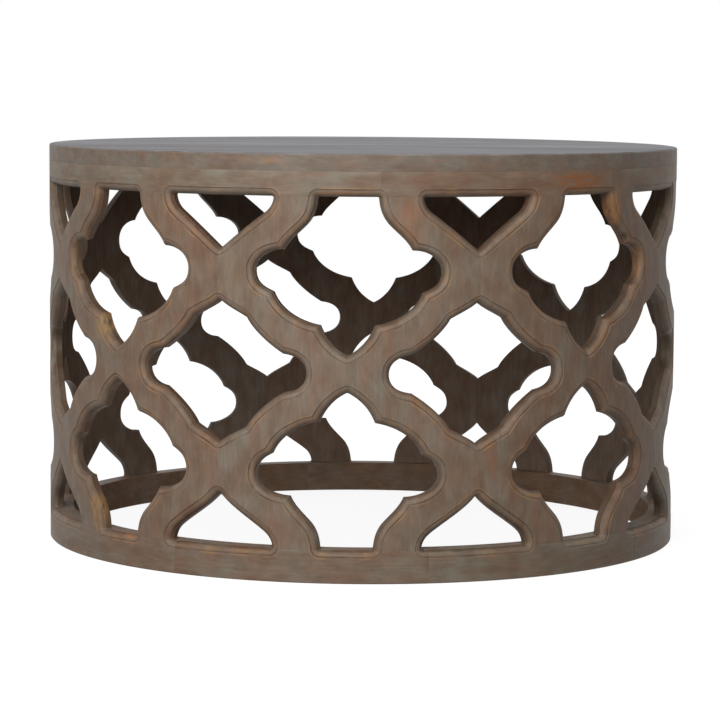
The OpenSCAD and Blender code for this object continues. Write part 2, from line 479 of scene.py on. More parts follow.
# %% [markdown]
# ## Cutting the boards to length
#
# `bisect_plane` does the sawing: it cuts every face along a plane and can clear
# one side. The open end is then closed with `holes_fill`. Real joints are never
# flush, because sanding rounds the two arrises, so each cut end gets a second,
# shallower cut just inside it, and the end itself sinks a little.

# %% Saw and ease
SEAM_RUN = 0.5 * MM
SEAM_SINK = 0.15 * MM
SNAP = 0.02 * MM
X, Y, Z = 0, 1, 2


def sliced(bm, axis, place, clear=0):
    """Cuts a board across one axis. clear is 1 or -1 for the side that is thrown away."""
    point, normal = Vector(), Vector()
    point[axis] = place
    normal[axis] = 1
    made = bmesh.ops.bisect_plane(
        bm, geom=bm.verts[:] + bm.edges[:] + bm.faces[:], dist=TINY, plane_co=point,
        plane_no=normal, clear_outer=clear > 0, clear_inner=clear < 0,
    )["geom_cut"]
    return [g for g in made if isinstance(g, bmesh.types.BMEdge)]


def sawn(bm, axis, place, clear, beyond=False):
    """Saws an end off a board and closes the cut. beyond keeps a wall that lies in the cut."""
    inside = -clear * SNAP
    cut = sliced(bm, axis, place - inside if beyond else place + inside, clear)
    bmesh.ops.holes_fill(bm, edges=[e for e in cut if e.is_boundary])
    for vert in bm.verts:
        if abs(vert.co[axis] - place) < 2 * SNAP:
            vert.co[axis] = place


def eased(bm, axis, place, clear, depth, run=SEAM_RUN, sink=SEAM_SINK):
    """Rounds the arrises of a sawn end, on the carved side and on the back."""
    sliced(bm, axis, place - clear * run)
    reach = bm.verts.layers.float["reach"]
    for vert in bm.verts:
        if abs(vert.co[axis] - place) > TINY:
            continue
        if vert.co.y > depth - EASE / 2:
            vert.co.y -= sink
        elif vert[reach] > FILLET / 2:
            vert.co.y += sink


def open_edges(bm):
    """How many edges don't lie between exactly two faces."""
    return sum(not e.is_manifold for e in bm.edges)


print("eased seams:", SEAM_RUN / MM, "mm wide and", SEAM_SINK / MM, "mm deep")

# %% Saw the stave
STAVE_ENDS = [(X, 0, -1), (X, STAVE_ARC, 1), (Z, LATTICE_BOTTOM, -1), (Z, LATTICE_TOP, 1)]
for end in STAVE_ENDS:
    sawn(stave_board, *end)
for end in STAVE_ENDS:
    eased(stave_board, *end, STAVE_DEPTH)
print("sawn stave:", len(stave_board.faces), "faces,", open_edges(stave_board), "open edges")

# %% [markdown]
# A ring segment is as long as two staves, and its joints lie beside the joints
# of the staves, as a cooper would stagger them. The moulding of the openings
# runs up into the ring, so the ring is sawn from a thicker board with the same
# openings. The bottom ring's inner ledge lies open, so it was washed like a
# plain face. The top ring's faces down, and gets the same painted shade as the
# walls of the openings.

# %% Saw the ring segments
FOOT_EASE = 1 * MM


def ring_board(cell, turned, joint):
    """A flat ring segment, from a joint to the same joint two staves on."""
    openings = [ring_opening(cell if k % 2 == 0 else TRIANGLE, k * STAVE_ARC) for k in range(4)]
    bm = board([flipped(o) for o in openings] if turned else openings, RING_DEPTH)
    inner = (Z, LATTICE_BOTTOM, 1) if turned else (Z, LATTICE_TOP, -1)
    outer = (Z, 0, -1) if turned else (Z, RING_TOP, 1)
    joints = [(X, joint, -1), (X, joint + 2 * STAVE_ARC, 1)]
    sawn(bm, *inner, beyond=True)
    for end in joints:
        sawn(bm, *end)
    for end in joints + [inner]:
        eased(bm, *end, RING_DEPTH)
    if turned:
        eased(bm, *outer, RING_DEPTH, run=FOOT_EASE, sink=FOOT_EASE)
    else:
        eased(bm, *outer, RING_DEPTH)
        sliced(bm, Y, STAVE_DEPTH - MM)
    # The ledge's reach: a plain face on the bottom ring, and 0 on the top ring, where the finish
    # paints the walls' shade.
    reach = bm.verts.layers.float["reach"]
    for vert in bm.verts:
        if abs(vert.co.z - inner[1]) < TINY and vert.co.y > QUIRK + BEAD:
            vert[reach] = PLAIN if turned else 0
    return bm


top_ring_board = ring_board(UPPER_CELL, False, TOP_JOINT)
bottom_ring_board = ring_board(LOWER_CELL, True, BOTTOM_JOINT)
for name, bm in (("top", top_ring_board), ("bottom", bottom_ring_board)):
    print(f"{name} ring segment:", len(bm.faces), "faces,", open_edges(bm), "open edges")

# %% [markdown]
# The top is screwed on from below, through the ledge that the top ring leaves
# inside the staves. No bmesh operator drills, so a Boolean modifier cuts the
# holes for the screw heads, while the board is still flat and its geometry is
# simple. The screws themselves come from CAD.

# %% Drill the ledge
HEAD_HOLE = 8.2 * MM
HEAD_HOLE_DEPTH = 3.2 * MM
HOLE_SEGMENTS = 32
LEDGE_MIDDLE = (STAVE_DEPTH + RING_DEPTH) / 2


def drilled(board, places):
    """The board with a blind hole up into its inner ledge at each place along the drawing."""
    bits = bmesh.new()
    for x in places:
        bmesh.ops.create_cone(
            bits, cap_ends=True, segments=HOLE_SEGMENTS, radius1=HEAD_HOLE / 2,
            radius2=HEAD_HOLE / 2, depth=2 * HEAD_HOLE_DEPTH,
            matrix=Matrix.Translation((x, LEDGE_MIDDLE, LATTICE_TOP)),
        )
    pair = []
    for name, bm in (("flat_ring", board), ("drill_bits", bits)):
        mesh = bpy.data.meshes.new(name)
        bm.to_mesh(mesh)
        bm.free()
        pair.append(bpy.data.objects.new(name, mesh))
        bpy.context.scene.collection.objects.link(pair[-1])
    cut = pair[0].modifiers.new("drill", "BOOLEAN")
    cut.operation = "DIFFERENCE"
    cut.solver = "EXACT"
    cut.object = pair[1]
    result = bmesh.new()
    result.from_object(pair[0], bpy.context.evaluated_depsgraph_get())
    reach = result.verts.layers.float["reach"]
    # Inside the holes reach is 0, so the finish paints the walls' shade into them.
    for vert in result.verts:
        off = Vector((min(abs(vert.co.x - x) for x in places), vert.co.y - LEDGE_MIDDLE))
        if off.length < HEAD_HOLE and vert.co.z < LATTICE_TOP + HEAD_HOLE_DEPTH + TINY:
            vert[reach] = 0
    for thing in pair:
        mesh = thing.data
        bpy.data.objects.remove(thing)
        bpy.data.meshes.remove(mesh)
    return result


top_ring_board = drilled(top_ring_board, [0.5 * STAVE_ARC, 1.5 * STAVE_ARC])
print("drilled:", len(top_ring_board.faces), "faces,", open_edges(top_ring_board), "open edges")

# %% [markdown]
# ## Bending the drawing round the drum
#
# Each board is first sliced crosswise, every few millimetres, because a face
# can't bend between its own corners. Then every vertex moves from the flat
# drawing to the drum. The outer face lands on the drum's radius. The walls of
# the openings all run in their stave's own direction, as a saw or router cuts
# them, and not towards the drum's axis. Only the joints at a stave's two edges
# point at the axis.

# %% Bend
BEND_STEP = STAVE_ARC / 20
OUTSIDE, INSIDE, TOP = 0, 1, 2


def on_drum(flat):
    """A point of the drawing, moved to the drum. The drawing's x = 0 faces -Y."""
    angle = flat.x / RADIUS
    half = STAVE_ANGLE / 2
    middle = (math.floor(angle / STAVE_ANGLE) + 0.5) * STAVE_ANGLE
    inward = middle + half * ((angle - middle) / half) ** 3
    slope = RADIUS * math.cos(angle - inward)
    run = slope - math.sqrt(slope**2 - RADIUS**2 + (RADIUS - flat.y) ** 2)
    return Vector((
        RADIUS * math.sin(angle) - run * math.sin(inward),
        -RADIUS * math.cos(angle) + run * math.cos(inward),
        flat.z,
    ))


def bent(bm):
    """Slices a board and bends it. The drawing's own coordinates stay in a vertex layer."""
    left = min(v.co.x for v in bm.verts)
    right = max(v.co.x for v in bm.verts)
    for k in range(math.ceil(left / BEND_STEP), math.floor(right / BEND_STEP) + 1):
        if left + TINY < k * BEND_STEP < right - TINY:
            sliced(bm, X, k * BEND_STEP)
    back = max(v.co.y for v in bm.verts) - EASE / 2
    for face in bm.faces:
        face.material_index = INSIDE if all(v.co.y > back for v in face.verts) else OUTSIDE
    flat = bm.verts.layers.float_vector.new("flat")
    for vert in bm.verts:
        vert[flat] = vert.co
        vert.co = on_drum(vert.co)
    return bm


for bm in (stave_board, top_ring_board, bottom_ring_board):
    bent(bm)
    print("bent:", len(bm.faces), "faces, smallest", min(f.calc_area() for f in bm.faces))

# %% [markdown]
# ## Sixteen staves and sixteen ring segments
#
# The same bent stave serves sixteen times. Every second one is a mirror image,
# because the drawing covers half a repeat of the lattice. A mirrored mesh has
# its faces inside out, so they are reversed. Each piece also gets its own place
# in the wood's pattern and its own tone, as if each were sawn from another board.

# %% Make and name the pieces
SHARP = math.radians(32)
SEED = 3710
draw = random.Random(SEED)
pieces = {}


def round_the_drum(template, angle, mirror=False):
    """A copy of a bent board, turned to its place round the drum."""
    bm = template.copy()
    if mirror:
        bmesh.ops.scale(bm, vec=(-1, 1, 1), verts=bm.verts)
        bmesh.ops.reverse_faces(bm, faces=bm.faces)
    bmesh.ops.rotate(bm, cent=(0, 0, 0), matrix=Matrix.Rotation(angle, 3, "Z"), verts=bm.verts)
    return bm


def finished(bm, node, along):
    """Makes a piece that stands for one CAD node. along is the flat axis that the grain follows."""
    flat = bm.verts.layers.float_vector["flat"]
    grain = bm.verts.layers.float_vector.new("grain")
    tone = bm.verts.layers.float.new("tone")
    shift = Vector([draw.uniform(-1, 1) for _ in range(3)])
    shade = draw.uniform(0, 1)
    for vert in bm.verts:
        p = vert[flat]
        vert[grain] = shift + Vector((p[along - 2], p[along - 1], p[along]))
        vert[tone] = shade
    for edge in bm.edges:
        edge.smooth = edge.calc_face_angle(0) < SHARP
    for face in bm.faces:
        face.smooth = True
    mesh = bpy.data.meshes.new("carved_" + node)
    bm.to_mesh(mesh)
    bm.free()
    piece = bpy.data.objects.new("carved_" + node, mesh)
    bpy.context.scene.collection.objects.link(piece)
    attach(piece, "root")
    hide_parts(node)
    pieces[node] = piece


for k in range(STAVES):
    turned = k % 2 == 1
    bm = round_the_drum(stave_board, (k + turned) * STAVE_ANGLE, mirror=turned)
    finished(bm, f"stave_{k + 1:02d}", along=Z)
for k in range(STAVES // 2):
    for ring, template in (("top_ring", top_ring_board), ("bottom_ring", bottom_ring_board)):
        bm = round_the_drum(template, 2 * k * STAVE_ANGLE)
        finished(bm, f"{ring}_{k + 1}", along=X)
print("pieces of the wall:", len(pieces))

# %% [markdown]
# ## The planked top
#
# The top is seven planks, edge-glued and then turned round as one disc. So it is
# made the same way: a disc is drawn up from a circle, its rim gets a soft upper
# arris, and each plank is the strip of it between two saw cuts.

# %% The top
RIM_SEGMENTS = 256
TOP_ARRIS = 2 * MM
UNDER_ARRIS = 0.2 * MM
PLANK_RUN = 0.8 * MM
PLANK_SINK = 0.3 * MM


def disc():
    """The whole round top, with its two edges eased."""
    bm = bmesh.new()
    bmesh.ops.create_circle(bm, cap_ends=True, segments=RIM_SEGMENTS, radius=RADIUS)
    bmesh.ops.translate(bm, verts=bm.verts, vec=(0, 0, RING_TOP))
    made = bmesh.ops.extrude_face_region(bm, geom=bm.faces[:])["geom"]
    upper = [g for g in made if isinstance(g, bmesh.types.BMVert)]
    bmesh.ops.translate(bm, verts=upper, vec=(0, 0, HEIGHT - RING_TOP))
    bmesh.ops.recalc_face_normals(bm, faces=bm.faces)
    for z, width, segments in ((HEIGHT, TOP_ARRIS, 5), (RING_TOP, UNDER_ARRIS, 1)):
        rim = [e for e in bm.edges if all(abs(v.co.z - z) < TINY for v in e.verts)]
        bmesh.ops.bevel(
            bm, geom=rim, offset=width, offset_type="OFFSET", affect="EDGES",
            segments=segments, profile=0.5, material=-1,
        )
    return bm


def plank(whole, front, back):
    """The strip of the disc between two cuts, with its upper arrises a little rounded."""
    bm = whole.copy()
    cuts = [(front, -1), (back, 1)]
    cuts = [(place, clear) for place, clear in cuts if abs(place) < RADIUS - MM]
    for place, clear in cuts:
        made = sliced(bm, Y, place, clear)
        bmesh.ops.holes_fill(bm, edges=[e for e in made if e.is_boundary])
    for place, clear in cuts:
        sliced(bm, Y, place - clear * PLANK_RUN)
    flat = bm.verts.layers.float_vector.new("flat")
    reach = bm.verts.layers.float.new("reach")
    for vert in bm.verts:
        vert[flat] = vert.co
        vert[reach] = PLAIN
    for place, clear in cuts:
        for vert in bm.verts:
            if abs(vert.co.y - place) < TINY and vert.co.z > HEIGHT - TINY:
                vert.co.z -= PLANK_SINK
                vert[reach] = 0
    for face in bm.faces:
        facing = face.normal.z
        face.material_index = TOP if facing > 0.5 else INSIDE if facing < -0.5 else OUTSIDE
    return bm


whole_top = disc()
for k in range(PLANKS):
    node = f"plank_{k + 1}"
    low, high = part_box(node)
    finished(plank(whole_top, low.y, high.y), node, along=X)

worst = 0
for node, piece in pieces.items():
    for low_or_high, corner in zip((min, max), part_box(node)):
        for axis in (X, Y, Z):
            reached = low_or_high(v.co[axis] for v in piece.data.vertices)
            worst = max(worst, abs(reached - corner[axis]))
print(f"{len(pieces)} pieces, each within {worst / MM:.1f} mm of its solid's box")

# %% [markdown]
# ## Colours and nodes
#
# Colours are written as the sRGB hex codes that a picture editor shows. Blender
# calculates with linear light, so one function converts them. A second function
# adds a node with its settings and its links, which keeps each material short.

# %% Helpers for materials
def colour(code):
    """A hex code such as 8a7c6c as a linear RGBA colour."""
    channels = [int(code[k : k + 2], 16) / 255 for k in (0, 2, 4)]
    return [c / 12.92 if c <= 0.04045 else ((c + 0.055) / 1.055) ** 2.4 for c in channels] + [1]


def add(tree, kind, inputs=None, stops=None, **settings):
    """Adds a node. An input is a value, a node, or one output of a node. Stops are a ramp's."""
    made = tree.nodes.new("ShaderNode" + kind)
    for name, value in settings.items():
        setattr(made, name, value)
    for socket, value in (inputs or {}).items():
        if isinstance(value, bpy.types.Node):
            value = next(output for output in value.outputs if output.enabled)
        if isinstance(value, bpy.types.NodeSocket):
            tree.links.new(value, made.inputs[socket])
        else:
            made.inputs[socket].default_value = value
    for k, (place, code) in enumerate(stops or []):
        ends = made.color_ramp.elements
        stop = ends[k] if k < len(ends) and k < 2 else ends.new(place)
        stop.position = place
        stop.color = colour(code)
    return made


def material(name):
    """A new material, its node tree and its Principled shader."""
    made = bpy.data.materials.new(name)
    made.use_nodes = True
    return made, made.node_tree, made.node_tree.nodes["Principled BSDF"]


print("taupe in linear light:", [round(c, 3) for c in colour("8a7c6c")])

# %% [markdown]
# ## How the wood is finished
#
# The wall is a medium hardwood, sanded, stained reddish brown, then rubbed with
# a thin grey wash. To the eye that gives four things. Broad, soft patches run
# with the grain, greyer where the wash stayed and redder where it was rubbed
# off. Fine streaks and pores follow the grain. The raised edges are rubbed back
# to an orange tan, and on the bead's crest that tan is also a painted highlight.
# The hollows of the moulding keep dark stain, and painted shade darkens them
# further. Inside the drum there is no wash, only dark stain, which is painted
# paler than it is, as painted light for the shaded inside.
#
# A painter could paint all this on an image, but an image belongs to one shape.
# Noise can be cut to any board. The grain attribute carries each board's own
# flat coordinates, with z along the grain, so the pattern bends with the wood.
# It is stretched by giving it one size across the grain and another along it.

# %% The steps of the finish
def streaky(tree, across, along, detail=3, seed=0):
    """Noise whose spots have one size across the grain and another along it, in metres."""
    grain = add(tree, "Attribute", attribute_name="grain").outputs["Vector"]
    stretched = add(tree, "Mapping", {
        "Vector": grain, "Location": (seed, seed, seed),
        "Scale": (1 / across, 1 / across, 1 / along),
    })
    return add(tree, "TexNoise", {"Vector": stretched, "Scale": 1, "Detail": detail})


def darkened(tree, base, pattern, low, high, dark):
    """The base, multiplied by a dark colour where the pattern is low: mostly a stain, and on the
    walls of the openings painted shade.
    """
    dark_ramp = add(tree, "ValToRGB", {"Fac": pattern}, stops=[(low, dark), (high, "ffffff")])
    return add(
        tree, "Mix", {"Factor": 1, "A": base, "B": dark_ramp}, data_type="RGBA", blend_type="MULTIPLY",
    )


def coated(tree, base, coat, pattern, low, high, top=1.0):
    """The base under a second colour, from none where the pattern is low up to the share top."""
    cover = add(tree, "MapRange", {
        "Value": pattern, "From Min": low, "From Max": high, "To Max": top,
    })
    return add(tree, "Mix", {"Factor": cover, "A": base, "B": colour(coat)}, data_type="RGBA")


def ringed(tree, base, growth, count, low, dark):
    """The base with growth rings, drawn where a slow pattern passes each of its levels."""
    levels = add(tree, "Math", {0: growth, 1: count}, operation="MULTIPLY")
    return darkened(tree, base, add(tree, "Math", {0: levels}, operation="SINE"), low, 1, dark)


grain = pieces["stave_01"].data.attributes["grain"].data[0].vector
print("grain at one corner of the first stave:", [round(c, 3) for c in grain])

# %% [markdown]
# A board's colour is built up in the order in which a finisher works. The stain
# comes first and the wash goes over it in patches. Then come growth rings a few
# millimetres apart, a soft mottle, streaks about 4 mm wide, and pores. Real
# pores are 0.1 to 0.2 mm wide, which is too fine to show here, so they are
# drawn 0.7 mm wide. Last come the places where a cloth took the wash off again.
# The tone attribute makes some boards greyer as a whole, as they were cut from
# different trees.

# %% A board's colour
def board_colour(tree, washed, brown, overlaid, stretch=1):
    """The colour of a board, and its fine streaks. stretch lengthens the figure."""
    tone = add(tree, "Attribute", attribute_name="tone").outputs["Fac"]
    patches = streaky(tree, 22 * MM, 45 * MM * stretch, detail=5)
    greyer = add(tree, "Math", {0: tone, 1: 0.28, 2: patches}, operation="MULTIPLY_ADD")
    board = coated(tree, colour(brown), washed, greyer, 0.45, 0.85)
    growth = streaky(tree, 40 * MM, 220 * MM * stretch, seed=4)
    board = ringed(tree, board, growth, 90, 0, "f7f4f1")
    mottle = streaky(tree, 16 * MM, 26 * MM * stretch, detail=5, seed=2)
    board = darkened(tree, board, mottle, 0.34, 0.6, "e6e0d9")
    streaks = streaky(tree, 4 * MM, 45 * MM * stretch, detail=4, seed=3)
    board = darkened(tree, board, streaks, 0.35, 0.6, "f7f4f1")
    pores = streaky(tree, 0.7 * MM, 9 * MM, detail=2, seed=6)
    board = darkened(tree, board, pores, 0.28, 0.4, "e4ddd6")
    rubs = streaky(tree, 9 * MM, 34 * MM * stretch, detail=4, seed=5)
    return coated(tree, board, overlaid, rubs, 0.55, 0.75, 0.4), streaks


tones = [piece.data.attributes["tone"].data[0].value for piece in pieces.values()]
print("tones of the boards:", [round(tone, 1) for tone in tones])

# %% [markdown]
# ## Marks in known places
#
# Noise puts wear anywhere, but a real table has its own marks. This one has a
# broad orange patch on the top ring, tan beads near its left and right edges,
# and a small knot. The tan on those beads is partly worn wood and partly a
# painted highlight, where the lamp catches the beads at the drum's sides. Each
# mark is a centre on the drum, a size, a colour and a strength. Inside the
# mark's ellipsoid the colour is mixed in, and noise breaks its edge, because a
# cloth never leaves a round spot.

# %% Marks
MARKS = [
    ((-0.092, -0.369, 0.467), (0.036, 0.036, 0.0045), "ab7a50", 0.35),
    ((0.255, -0.282, 0.443), (0.055, 0.055, 0.015), "91592f", 0.75),
    ((-0.253, -0.284, 0.034), (0.016, 0.016, 0.004), "b07448", 0.6),
    ((0.161, -0.344, 0.138), (0.010, 0.010, 0.030), "97623f", 0.3),
    # Tan beads at the left and right edges: worn tan, and partly a painted highlight.
    ((-0.285, -0.243, 0.273), (0.018, 0.018, 0.022), "a5814c", 0.55),
    ((-0.293, -0.235, 0.060), (0.016, 0.016, 0.032), "a07c48", 0.5),
    ((-0.324, -0.189, 0.341), (0.014, 0.014, 0.030), "9c7a4c", 0.45),
    ((0.294, -0.233, 0.407), (0.014, 0.014, 0.032), "b07a45", 0.55),
    ((0.326, -0.186, 0.351), (0.014, 0.014, 0.030), "b07a45", 0.5),
    ((0.066, -0.371, 0.403), (0.020, 0.010, 0.030), "a56c42", 0.4),
    ((0.311, -0.219, 0.406), (0.004, 0.006, 0.014), "54504e", 0.5),
    ((0.307, -0.216, 0.378), (0.009, 0.009, 0.007), "33291f", 1),
]


def marked(tree, board):
    """The board with every mark, each in its own place on the drum."""
    place = add(tree, "TexCoord").outputs["Object"]
    noise = streaky(tree, 5 * MM, 20 * MM, detail=3, seed=7)
    broken = add(tree, "MapRange", {"Value": noise, "From Min": 0.35, "From Max": 0.55})
    for centre, size, code, strength in MARKS:
        offset = add(tree, "VectorMath", {0: place, 1: centre}, operation="SUBTRACT")
        scaled = add(tree, "VectorMath", {0: offset, 1: size}, operation="DIVIDE")
        away = add(tree, "VectorMath", {0: scaled}, operation="LENGTH").outputs["Value"]
        near = add(tree, "MapRange", {
            "Value": away, "From Min": 1, "From Max": 0.4, "To Max": strength,
        })
        patch = add(tree, "Math", {0: near, 1: broken}, operation="MULTIPLY")
        board = add(tree, "Mix", {"Factor": patch, "A": board, "B": colour(code)}, data_type="RGBA")
    return board


print("marks:", len(MARKS))

# %% [markdown]
# ## The washed outside
#
# The reach attribute says how far a point lies from the through edge, so a
# colour ramp can be drawn across the moulding like a second profile. One ramp
# keeps stain in the two fillets and adds painted shade there and at the bead's
# deep root. Another rubs the bead's crest and the outer arris to tan, and on the
# crest the tan is also a painted highlight. Noise decides where along the
# moulding each of them shows.
# The walls of the openings, behind the moulding, are painted darker: painted shade, for walls that
# face away from the lamps.

# %% The washed outside of the wall
# Hardwood, sanded, brown stain, grey wash: matt, greyed brown, with tan edges that are partly a
# painted highlight on the bead's crest.
BEAD_END = FILLET + BEAD
WALL_END = 0.55 * MM
WALL_SHADE_FADE = 0.8 * MM
# Stain kept in the two fillets, with painted shade there and at the bead's deep root.
HOLLOW_STAIN_AND_SHADE = [
    (0, "f4f2f0"), (FILLET, "f4f2f0"), (1.2 * FILLET, "b8aea6"), (2.5 * MM, "e2ddd8"),
    (5.5 * MM, "fcfbfa"), (BEAD_END - 0.5 * MM, "e4ded8"), (BEAD_END, "b8aea5"),
    (MOULDING - 0.3 * MM, "d2cac2"), (MOULDING, "ffffff"),
]
# Worn tan on the outer arris; on the bead's crest the tan is also a painted highlight.
EDGES = [
    (1.5 * MM, "000000"), (3 * MM, "a0a0a0"), (5 * MM, "a0a0a0"), (BEAD_END, "000000"),
    (MOULDING - 0.3 * MM, "000000"), (MOULDING + 0.1 * MM, "ffffff"),
    (MOULDING + 0.9 * MM, "c8c8c8"), (MOULDING + 2 * MM, "000000"),
]
RUBBED_TAN = "8c6447"
WORN_AND_LIT_TAN = "ab8054"
WALL_PAINTED_SHADE = "c4bab0"


def across_plain(stops):
    """Stops placed in metres from the through edge, as shares of the way to the plain face."""
    return [(place / PLAIN, code) for place, code in stops]


def washed_wood(name, washed, brown):
    """The finish of the wall's outside and the top's rim, from its two main colours."""
    made, tree, shader = material(name)
    board, streaks = board_colour(tree, washed, brown, RUBBED_TAN)
    reach = add(tree, "Attribute", attribute_name="reach").outputs["Fac"]
    across = add(tree, "MapRange", {"Value": reach, "From Max": PLAIN})
    hollows = add(tree, "ValToRGB", {"Fac": across}, stops=across_plain(HOLLOW_STAIN_AND_SHADE))
    stain_and_shade_patches = add(tree, "MapRange", {
        "Value": streaky(tree, 22 * MM, 22 * MM, detail=3, seed=9),
        "From Min": 0.3, "From Max": 0.65,
    })
    stained_and_shaded = add(
        tree, "Mix", {"Factor": stain_and_shade_patches, "A": board, "B": hollows},
        data_type="RGBA", blend_type="MULTIPLY",
    )
    # Painted shade: the walls of the openings, up to the moulding, are darkened.
    wall_shaded = darkened(tree, stained_and_shaded, across, WALL_END / PLAIN, WALL_SHADE_FADE / PLAIN, WALL_PAINTED_SHADE)
    edges = add(tree, "ValToRGB", {"Fac": across}, stops=across_plain(EDGES))
    wear_and_highlight_patches = add(tree, "MapRange", {
        "Value": streaky(tree, 26 * MM, 26 * MM, detail=5, seed=8),
        "From Min": 0.5, "From Max": 0.64, "To Max": 0.85,
    })
    wear_and_highlight = add(tree, "Math", {0: edges, 1: wear_and_highlight_patches}, operation="MULTIPLY")
    # Mixes in the worn tan, which on the crest is partly a painted highlight.
    overlaid = add(
        tree, "Mix", {"Factor": wear_and_highlight, "A": wall_shaded, "B": colour(WORN_AND_LIT_TAN)}, data_type="RGBA",
    )
    tree.links.new(marked(tree, overlaid).outputs[2], shader.inputs["Base Color"])
    rough = add(tree, "MapRange", {"Value": streaks, "To Min": 0.5, "To Max": 0.66})
    tree.links.new(rough.outputs[0], shader.inputs["Roughness"])
    shader.inputs["Specular IOR Level"].default_value = 0.3
    bump = add(tree, "Bump", {"Height": streaks, "Strength": 0.1, "Distance": 0.2 * MM})
    tree.links.new(bump.outputs[0], shader.inputs["Normal"])
    return made


stave_wood = washed_wood("grey_washed_hardwood_staves", "867d70", "856c5b")
ring_wood = washed_wood("grey_washed_hardwood_rings", "888174", "836b5a")
rim_wood = washed_wood("grey_washed_hardwood_rim", "7e7970", "7f6c5e")
print("nodes in the staves' wood:", len(stave_wood.node_tree.nodes))

# %% [markdown]
# ## The stained inside
#
# The inner faces have the brown stain but no wash and no polish. In the drum's
# shade they look nearly black. That darkness comes from the shade itself, so
# the colours here are no darker than the outside. They are even paler than the
# dull brown stain: painted light, for the light that the inside lacks. All gloss
# is off, because any gloss would mirror the white room.

# %% The stained inside of the wall
# Hardwood, sanded, brown stain only: dull brown, painted paler as painted light, with no shine at
# all.
INNER_TAN = "9c7a62"


def stained_wood(name, dull, warm):
    """The finish of the wall's inside and the top's underside, from its two main colours."""
    made, tree, shader = material(name)
    board, _ = board_colour(tree, dull, warm, INNER_TAN)
    tree.links.new(board.outputs[2], shader.inputs["Base Color"])
    shader.inputs["Roughness"].default_value = 0.8
    shader.inputs["Specular IOR Level"].default_value = 0
    return made


# These colours are paler than the stain, as painted light for the shaded inside.
inner_wood = stained_wood("brown_stained_hardwood_staves_painted_paler", "a09488", "a18a7a")
inner_ring_wood = stained_wood("brown_stained_hardwood_rings_painted_paler", "a89586", "ae9079")
print("nodes in the inside's wood:", len(inner_wood.node_tree.nodes))

# %% [markdown]
# ## The planked top
#
# The top took more of the grey wash than the wall, because it lay flat. Its
# cool blue tint is partly a painted sheen, for the room mirrored at a low angle,
# so the gloss is nearly off. Its planks are long and plainly sawn, so the same
# figure is stretched along the grain, and wide growth rings and thin lines run
# the whole way across. Each plank has its own tone, and dirt sits in the seams,
# where reach is 0.

# %% The top's wood
# Hardwood planks, glued and sanded flat, heavy grey wash: cool grey, partly a painted sheen, nearly
# matt.
LONG_GRAIN = 6
SEAM_DIRT = "5a544e"


def top_wood(name):
    """The finish of the table's top face."""
    made, tree, shader = material(name)
    # The blue in these greys is a painted sheen.
    board, _ = board_colour(tree, "88909d", "858992", "8c8a88", LONG_GRAIN)
    heart = streaky(tree, 90 * MM, 1.5, detail=1, seed=12)
    board = ringed(tree, board, heart, 70, -0.4, "e4ded8")
    lines = streaky(tree, 2.5 * MM, 260 * MM, detail=4, seed=11)
    board = darkened(tree, board, lines, 0.3, 0.6, "e4ded8")
    tone = add(tree, "Attribute", attribute_name="tone").outputs["Fac"]
    board = darkened(tree, board, tone, 0, 1, "dddbd9")
    reach = add(tree, "Attribute", attribute_name="reach").outputs["Fac"]
    board = darkened(tree, board, reach, 0, PLAIN, SEAM_DIRT)
    tree.links.new(board.outputs[2], shader.inputs["Base Color"])
    shader.inputs["Roughness"].default_value = 0.65
    shader.inputs["Specular IOR Level"].default_value = 0.05
    return made


planked_wood = top_wood("grey_washed_hardwood_planks_painted_sheen")
print("nodes in the top's wood:", len(planked_wood.node_tree.nodes))

# %% [markdown]
# ## Hidden joinery
#
# The dowels, tongues and screws come straight from CAD. They are inside the
# wood, but a part that is taken apart should still look right. They have no
# grain attribute, so their patterns use the Object coordinates.

# %% Dowels, tongues and screws
def turned_beech(name):
    """Beech, turned and left raw: pale and matt, with short brown flecks about 1.5 by 8 mm."""
    made, tree, shader = material(name)
    place = add(tree, "TexCoord").outputs["Object"]
    stretched = add(tree, "Mapping", {"Vector": place, "Scale": (700, 700, 120)})
    flecks = add(tree, "TexNoise", {"Vector": stretched, "Scale": 1, "Detail": 3})
    board = darkened(tree, colour("caa87e"), flecks, 0.35, 0.5, "c8b09a")
    tree.links.new(board.outputs[2], shader.inputs["Base Color"])
    shader.inputs["Roughness"].default_value = 0.7
    return made


def plated_steel(name):
    """Zinc-plated steel: a slightly yellow grey metal, a little dull, with soft wipe marks."""
    made, tree, shader = material(name)
    place = add(tree, "TexCoord").outputs["Object"]
    wiped = add(tree, "TexNoise", {"Vector": place, "Scale": 400, "Detail": 3})
    rough = add(tree, "MapRange", {"Value": wiped, "To Min": 0.25, "To Max": 0.5})
    tree.links.new(rough.outputs[0], shader.inputs["Roughness"])
    shader.inputs["Base Color"].default_value = colour("b8b4a8")
    shader.inputs["Metallic"].default_value = 1
    return made


dowel_wood = turned_beech("turned_beech")
steel = plated_steel("zinc_plated_steel")
print("hidden joinery:", dowel_wood.name, "and", steel.name)

# %% [markdown]
# Each face already holds a number that says whether it lies outside, inside or
# on top. A mesh counts its materials in the same way, so a piece only needs its
# finishes in that order. The CAD nodes get the joinery's two materials. Those
# that a carved piece stands for are hidden, so it doesn't show on them.

# %% Put the materials on
for node, piece in pieces.items():
    if "plank" in node:
        finish = [rim_wood, inner_ring_wood, planked_wood]
    elif "ring" in node:
        finish = [ring_wood, inner_ring_wood]
    else:
        finish = [stave_wood, inner_wood]
    for layer in finish:
        piece.data.materials.append(layer)
for node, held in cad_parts.items():
    held.data.materials.clear()
    held.data.materials.append(steel if node == "top_screws" else dowel_wood)
print("materials:", len(bpy.data.materials))

